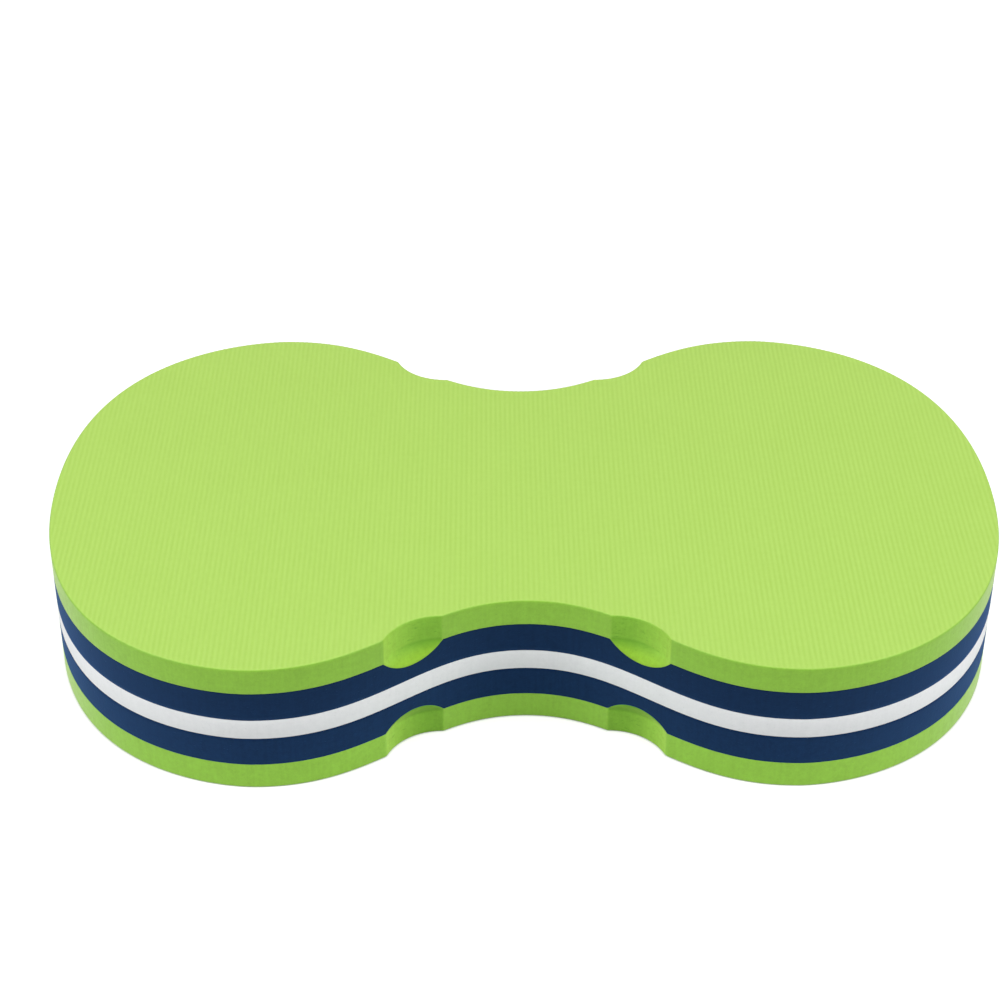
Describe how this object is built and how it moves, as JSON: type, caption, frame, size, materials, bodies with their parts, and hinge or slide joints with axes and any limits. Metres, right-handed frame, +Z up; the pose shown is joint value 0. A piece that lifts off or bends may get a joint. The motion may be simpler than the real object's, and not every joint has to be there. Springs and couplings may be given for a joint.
{
  "type": "pull-kick float",
  "caption": "Figure-of-eight swim float of bonded foam sheets with a narrow waist and finger scoops, used as a pull buoy between the legs or as a small kickboard.",
  "frame": {"origin": "middle of the bottom face, on the plane that the float rests on", "axes": "+X along the float's long way, +Z up through the stack of sheets, +Y across the float"},
  "size_m": [0.335, 0.2056, 0.0501],
  "materials": {
    "cover_foam": "matte lime green closed-cell EVA foam, finely ribbed on its outer face and knife-cut on its edge",
    "band_foam": "matte navy closed-cell EVA foam with a knife-cut edge",
    "core_foam": "matte white closed-cell EVA foam with a knife-cut edge"
  },
  "bodies": {
    "root": {"top_sheet": "cover_foam", "upper_band_sheet": "band_foam", "core_sheet": "core_foam", "lower_band_sheet": "band_foam", "bottom_sheet": "cover_foam"}
  },
  "joints": []
}
